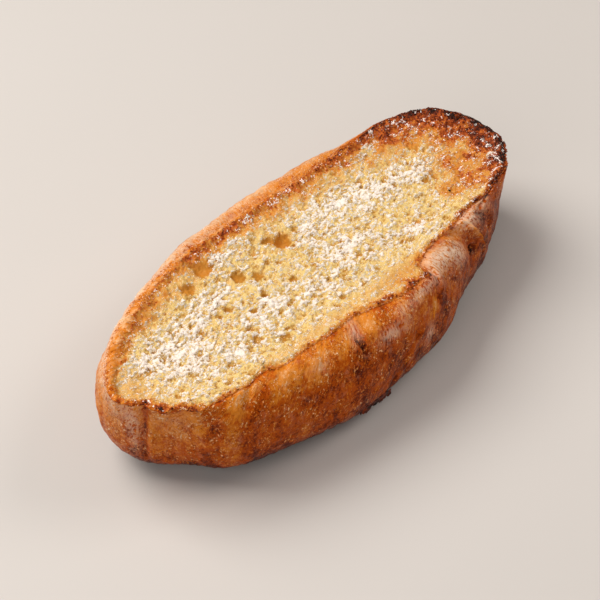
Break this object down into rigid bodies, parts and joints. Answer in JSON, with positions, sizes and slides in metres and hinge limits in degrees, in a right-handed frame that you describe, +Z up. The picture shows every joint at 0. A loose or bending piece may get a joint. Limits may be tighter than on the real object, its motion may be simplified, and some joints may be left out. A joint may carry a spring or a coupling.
{
  "type": "french toast",
  "caption": "Half of a soft oval roll, cut flat and toasted as french toast: browned crust below, open golden crumb above, dusted with powdered sugar.",
  "frame": {"origin": "middle of the bounding box in plan, on the plane the foot rests on", "axes": "+X along the roll towards its burnt end, +Y across it, +Z up, out of the cut face"},
  "size_m": [0.2048, 0.0968, 0.0464],
  "materials": {
    "crust": "baked bread crust, orange brown, satin with a thin egg and butter shine",
    "crumb": "toasted crumb, golden with amber edges, matte",
    "sugar": "powdered sugar, white, matte"
  },
  "bodies": {
    "root": {"toasted_half": "crust"}
  },
  "joints": []
}
